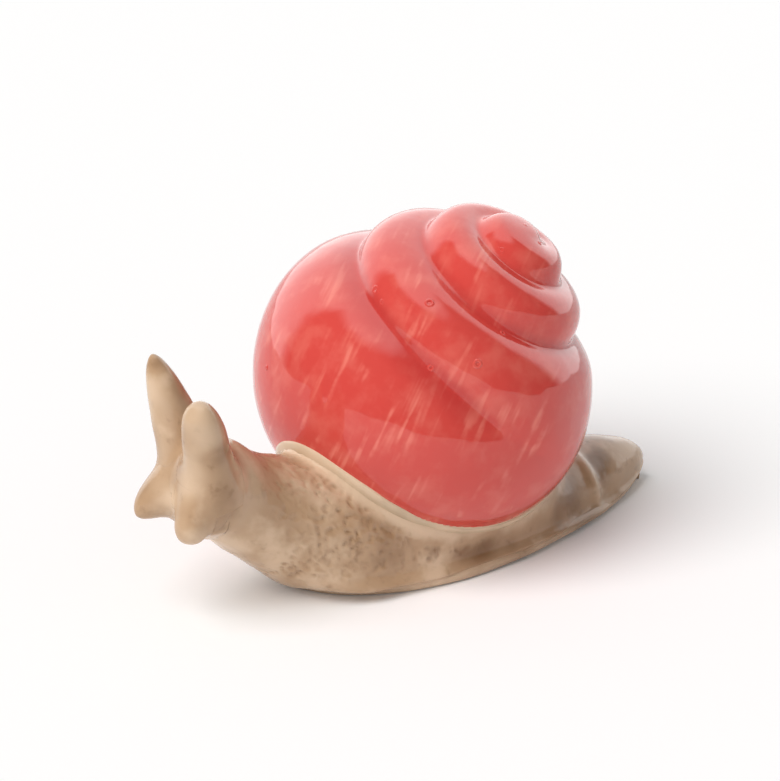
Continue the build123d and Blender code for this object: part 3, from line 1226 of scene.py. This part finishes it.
        # Painted shade: the crater's middle takes the deep colour in place of a hollow.
        deep = ramp(self.crater.shares(), self.crater.painted_hole_shade_ramp)[:, None]
        circle = np.linspace(0.0, tau, self.crater.columns, endpoint=False)[:, None]
        ends = np.array([[-self.crater.root_depth], height[-1, 0]])
        islands = []
        for k, radius in enumerate(radii):
            flat = np.cos(circle) * first[k] + np.sin(circle) * second[k]
            centre = spot[k] - self.ripple * normal[k]
            rings = centre + radius * (share * flat + height * normal[k])
            groove_and_painted_hole_shade = np.broadcast_to(deep, rings.shape[:2])
            poles = centre + radius * ends * normal[k]
            islands.append(Island(rings, poles, self.dressing(rings, groove_and_painted_hole_shade, seam)))
        return islands

    def build(self, seam: np.ndarray) -> bpy.types.Object:
        """Skin the shell from apex to base, with slight ripples from the maker's hand, and add its craters.

        Args:
            seam: Points of the line where the shell meets the body.

        Returns:
            The shell's mesh.
        """
        fine = np.linspace(0.0, self.fine_polar, self.fine_rows + 1)[1:]
        coarse = np.linspace(self.fine_polar, 180.0, self.coarse_rows + 1)[1:-1]
        polar, around = np.meshgrid(
            np.concatenate([fine, coarse]),
            np.linspace(0.0, tau, self.columns, endpoint=False),
            indexing="ij",
        )
        reach, groove_and_painted_hole_shade = self.swell(around, polar)
        rough = self.points(around, polar, reach)
        broad = soft_noise(rough, self.ripple_size, Draw.RIPPLE)
        small = soft_noise(rough, self.fine_ripple_size, Draw.FINE_RIPPLE)
        mixed = (1 - self.fine_ripple_share) * broad + self.fine_ripple_share * small
        reach = reach - self.ripple * (1 + mixed)
        rings = self.points(around, polar, reach)
        tip = self.radius * (1 + self.spire_rise) * self.flatness
        ends = np.array([[tip], [-self.base_flatness * self.radius]])
        poles = np.array(self.centre) + ends * self.axes()[2]
        ball = Island(rings, poles, self.dressing(rings, groove_and_painted_hole_shade, seam))
        return mesh_piece(self.name, [ball, *self.craters(seam)])


@dataclass
class MantleCollar:
    """The lip of clay pressed into the seam between shell and body."""

    front_width: float = 1.4
    flank_width: float = 0.75
    back_width: float = 0.5
    thickness: float = 0.3
    front_thickening: float = 0.5
    rise: float = 0.5
    front_ramp: tuple[float, float] = (-3.0, -12.0)
    back_ramp: tuple[float, float] = (4.0, 16.0)
    width_size: float = 3.5
    width_noise: float = 0.3
    thickness_size: float = 2.5
    thickness_noise: float = 0.25
    pool_size: float = 2.2
    pool_noise: float = 0.5
    pool_level: float = -0.15
    pool_slope: float = 0.55
    back_darkening: float = 0.3
    lowest: float = 25.0
    highest: float = 115.0
    halvings: int = 30
    evening: int = 11
    columns: int = 32
    rows: int = 640
    name: str = "glazed_collar"

    def seam(self, shell: Shell, body: Body) -> tuple[np.ndarray, np.ndarray]:
        """Find where ball and body meet.

        On each upright plane through the ball's centre it is the angle from straight down at which the
        ball comes out of the body, found by halving, then evened along the seam.

        Args:
            shell: The ball.
            body: The back under it.

        Returns:
            The seam's points, and the directions outwards from the ball.
        """
        turn = np.linspace(0.0, tau, self.rows, endpoint=False)
        low, high = np.full(self.rows, self.lowest), np.full(self.rows, self.highest)
        for _ in range(self.halvings):
            angle = np.radians((low + high) / 2)
            across = np.sin(angle)
            out = np.stack([across * np.cos(turn), across * np.sin(turn), -np.cos(angle)], -1)
            spot = np.array(shell.centre) + out * shell.girth(out)[:, None]
            inside = spot[:, 2] < body.height_at(spot[:, 0], spot[:, 1])
            low, high = np.where(inside, np.degrees(angle), low), np.where(inside, high, np.degrees(angle))
        kernel = np.hanning(2 * self.evening + 1)
        kernel /= kernel.sum()
        padded = np.vstack([spot[-self.evening :], spot, spot[: self.evening]])
        return np.stack([np.convolve(padded[:, k], kernel, "valid") for k in range(3)], -1), out

    def build(self, seam: np.ndarray, out: np.ndarray) -> bpy.types.Object:
        """Carry a flat lip along the seam, widest under the neck, that climbs a little up the ball.

        Args:
            seam: Points of the line where the shell meets the body.
            out: Directions outwards from the ball.

        Returns:
            The collar's mesh.
        """
        run = np.roll(seam, -1, axis=0) - np.roll(seam, 1, axis=0)
        run /= np.linalg.norm(run, axis=-1, keepdims=True)
        out = out - np.sum(out * run, axis=-1, keepdims=True) * run
        out /= np.linalg.norm(out, axis=-1, keepdims=True)
        beside = np.cross(run, out)
        beside *= np.sign(beside[:, 2:3])
        front, rear = ramp(seam[:, 0], self.front_ramp), ramp(seam[:, 0], self.back_ramp)
        width = self.flank_width + (self.front_width - self.flank_width) * front
        width += (self.back_width - self.flank_width) * rear
        width *= 1 + self.width_noise * soft_noise(seam, self.width_size, Draw.COLLAR_WIDTH)
        thick = self.thickness * (1 + self.front_thickening * front)
        thick *= 1 + self.thickness_noise * soft_noise(seam, self.thickness_size, Draw.COLLAR_THICKNESS)
        around = np.linspace(0.0, tau, self.columns, endpoint=False)
        lip = np.cos(around)[None, :, None] * (width[:, None] * beside)[:, None]
        lip = lip + np.sin(around)[None, :, None] * (thick[:, None] * out)[:, None]
        rings = (seam + self.rise * beside)[:, None] + lip
        pool_and_painted_light = self.pool_noise * soft_noise(rings, self.pool_size, Draw.COLLAR_POOL) + self.pool_level
        pool_and_painted_light = pool_and_painted_light - self.pool_slope * np.cos(around) + self.back_darkening * rear[:, None]
        return mesh_piece(self.name, [Island(rings, None, {"pool_and_painted_light": pool_and_painted_light})])


@dataclass
class Studio:
    """Pale floor, light tent, soft light and the camera."""

    azimuth: float = -37.0
    elevation: float = 22.0
    distance: float = 400.0
    target: tuple[float, float, float] = (1.2, 2.95, 18.0)
    focal_pixels: float = 3440.0
    frame_width: float = 780.0
    sensor: float = 36.0
    floor_reach: float = 1600.0
    floor_colour: Colour = (0.95, 0.945, 0.94, 1.0)
    floor_glow: float = 0.05
    sky_light: float = 0.34
    sun_power: float = 2.65
    sun_angle: float = 45.0
    sun_place: tuple[float, float, float] = (-0.62, -0.06, 0.78)
    tent_radius: float = 900.0
    tent_bright: float = 2.1
    tent_dark: float = 0.1
    tent_side: float = 108.0
    tent_top: float = 66.0
    tent_soft: float = 14.0
    tent_rows: int = 40
    tent_columns: int = 96

    def camera(self) -> None:
        """Place the camera at the photograph's angle, with a lens from its focal length in pixels."""
        a, e = radians(self.azimuth), radians(self.elevation)
        back = Vector((sin(a) * cos(e), -cos(a) * cos(e), sin(e)))
        right = Vector((cos(a), sin(a), 0.0))
        up = back.cross(right)
        lens = bpy.data.cameras.new("camera")
        lens.sensor_fit = "HORIZONTAL"
        lens.sensor_width = self.sensor
        lens.lens = self.focal_pixels / self.frame_width * self.sensor
        eye = bpy.data.objects.new("camera", lens)
        turn = Matrix((right, up, back)).transposed().to_4x4()
        eye.matrix_world = Matrix.Translation((Vector(self.target) + self.distance * back) * MM) @ turn
        bpy.context.scene.collection.objects.link(eye)
        bpy.context.scene.camera = eye

    def seen(self, paint: Paint) -> bpy.types.NodeSocket:
        """One for rays from the camera, from gloss and through glass, and zero for the rest."""
        path = paint.add("ShaderNodeLightPath").outputs
        glossy = paint.math("MAXIMUM", path["Is Camera Ray"], path["Is Glossy Ray"])
        return paint.math("MAXIMUM", glossy, path["Is Transmission Ray"])

    def floor(self) -> None:
        """Lay the pale floor, with a little glow so that open floor is white and shadows stay."""
        reach = self.floor_reach * MM
        corners = [(-reach, -reach, 0.0), (reach, -reach, 0.0), (reach, reach, 0.0), (-reach, reach, 0.0)]
        mesh = bpy.data.meshes.new("floor")
        mesh.from_pydata(corners, [], [(0, 1, 2, 3)])
        floor = bpy.data.objects.new("floor", mesh)
        bpy.context.scene.collection.objects.link(floor)
        paint = Paint(bpy.data.materials.new("pale_floor"))
        matte = paint.add("ShaderNodeBsdfDiffuse", {"Color": self.floor_colour}).outputs["BSDF"]
        glow = paint.math("MULTIPLY", self.seen(paint), self.floor_glow)
        light = paint.add("ShaderNodeEmission", {"Strength": glow}).outputs["Emission"]
        both = paint.add("ShaderNodeAddShader", {0: matte, 1: light}).outputs["Shader"]
        paint.add("ShaderNodeOutputMaterial", {"Surface": both})
        mesh.materials.append(paint.owner)

    def tent(self) -> None:
        """Stretch a tent that only gloss sees: bright behind and overhead, dark by the camera.

        It is a half ball. Its brightness rises where the turn away from the camera passes the sides, and
        where the elevation passes the top.
        """
        rise = np.linspace(0.0, np.pi / 2, self.tent_rows + 1)[:-1]
        turn = np.linspace(-np.pi, np.pi, self.tent_columns, endpoint=False)
        lift, around = np.meshgrid(rise, turn, indexing="ij")
        heading = around + radians(self.azimuth)
        rings = self.tent_radius * np.stack(
            [np.cos(lift) * np.sin(heading), -np.cos(lift) * np.cos(heading), np.sin(lift)], -1
        )
        side = smooth_step((np.degrees(np.abs(around)) - self.tent_side) / self.tent_soft + 0.5)
        top = smooth_step((np.degrees(lift) - self.tent_top) / self.tent_soft + 0.5)
        shine = np.maximum(side, top)
        poles = np.array([[0.0, 0.0, -1.0], [0.0, 0.0, self.tent_radius]])
        tent = mesh_piece("light_tent", [Island(rings, poles, {"shine": shine})])
        paint = Paint(bpy.data.materials.new("tent_cloth"))
        level = paint.add(
            "ShaderNodeMapRange",
            {"Value": paint.value("shine"), "To Min": self.tent_dark, "To Max": self.tent_bright},
        ).outputs["Result"]
        light = paint.add("ShaderNodeEmission", {"Strength": level}).outputs["Emission"]
        paint.add("ShaderNodeOutputMaterial", {"Surface": light})
        tent.data.materials.append(paint.owner)
        tent.visible_camera = tent.visible_diffuse = tent.visible_shadow = tent.visible_transmission = False

    def sky(self) -> None:
        """White surroundings for the eye and for gloss, and a plainer level for light."""
        world = bpy.data.worlds.new("studio")
        bpy.context.scene.world = world
        paint = Paint(world)
        plain = paint.add("ShaderNodeBackground", {"Color": (1, 1, 1, 1), "Strength": self.sky_light})
        white = paint.add("ShaderNodeBackground", {"Color": (1, 1, 1, 1), "Strength": 1.0})
        sockets = {0: self.seen(paint), 1: plain.outputs[0], 2: white.outputs[0]}
        both = paint.add("ShaderNodeMixShader", sockets)
        paint.add("ShaderNodeOutputWorld", {"Surface": both.outputs[0]})

    def lamp(self) -> None:
        """Shine one wide, even light from above the head's side, out of the gloss's sight."""
        light = bpy.data.lights.new("key", "SUN")
        light.energy = self.sun_power
        light.angle = radians(self.sun_angle)
        lamp = bpy.data.objects.new("key", light)
        lamp.matrix_world = Vector(self.sun_place).to_track_quat("Z", "Y").to_matrix().to_4x4()
        lamp.visible_glossy = False
        bpy.context.scene.collection.objects.link(lamp)

    def build(self) -> None:
        """Set the whole studio."""
        self.camera()
        self.floor()
        self.tent()
        self.sky()
        self.lamp()
        bpy.context.scene.view_settings.view_transform = "Standard"


@dataclass
class Snail:
    """The whole figurine."""

    sole: FootSole = field(default_factory=FootSole)
    body: Body = field(default_factory=Body)
    shell: Shell = field(default_factory=Shell)
    collar: MantleCollar = field(default_factory=MantleCollar)
    left_stalk: Tentacle = Tentacle(
        "glazed_left_stalk",
        root=(-29.2, -5.1, 15.0),
        tip=(-32.5, -7.3, 27.8),
        bend=(0.2, 0.0, 0.0),
        base_radius=3.2,
        neck_radius=2.55,
        rounding=6.0,
        bluntness=2.4,
        dent=Stain(-33.8, -7.8, 27.2, 0.7, 0.35),
    )
    right_stalk: Tentacle = Tentacle(
        "glazed_right_stalk",
        root=(-28.2, -0.6, 15.0),
        tip=(-31.8, 2.5, 30.45),
        bend=(0.1, 0.0, 0.0),
        base_radius=3.2,
        neck_radius=2.9,
        rounding=12.0,
        bluntness=1.75,
    )
    left_feeler: Tentacle = Tentacle(
        "glazed_left_feeler",
        root=(-29.6, -5.0, 17.5),
        tip=(-33.45, -6.15, 11.25),
        bend=(-0.5, -0.2, 0.0),
        base_radius=2.8,
        neck_radius=1.85,
        rounding=2.6,
        bluntness=2.3,
    )
    right_feeler: Tentacle = Tentacle(
        "glazed_right_feeler",
        root=(-29.0, -0.4, 16.6),
        tip=(-35.3, 1.1, 12.5),
        bend=(0.0, 0.0, 0.2),
        base_radius=2.9,
        neck_radius=2.5,
        rounding=4.6,
        bluntness=1.8,
    )

    def build(self) -> None:
        """Make each piece in turn and dress it in its glaze."""
        tan = TanGlaze("tan_glaze").material()
        pale = TanGlaze("pale_glaze", tan=(0.6, 0.42, 0.28, 1.0), mottle=0.3).material()
        olive = TanGlaze("olive_glaze", tan=(0.62, 0.47, 0.32, 1.0), mottle=0.2).material()
        tentacles = {
            "left_eye_stalk": self.left_stalk,
            "right_eye_stalk": self.right_stalk,
            "left_feeler": self.left_feeler,
            "right_feeler": self.right_feeler,
        }
        seam, out = self.collar.seam(self.shell, self.body)
        settle(self.sole.build(), "foot_sole", pale)
        forms = [self.body, *tentacles.values()]
        settle(self.body.build(forms[1:], self.shell), "body", tan)
        settle(self.shell.build(seam), "shell", CoralGlaze().material())
        settle(self.collar.build(seam, out), "mantle_collar", olive)
        for node, tentacle in tentacles.items():
            settle(tentacle.build([form for form in forms if form is not tentacle]), node, tan)


def main() -> None:
    """Build the studio and the snail."""
    logging.basicConfig(level=logging.INFO, format="%(message)s")
    Studio().build()
    Snail().build()


if __name__ == "__main__":
    main()
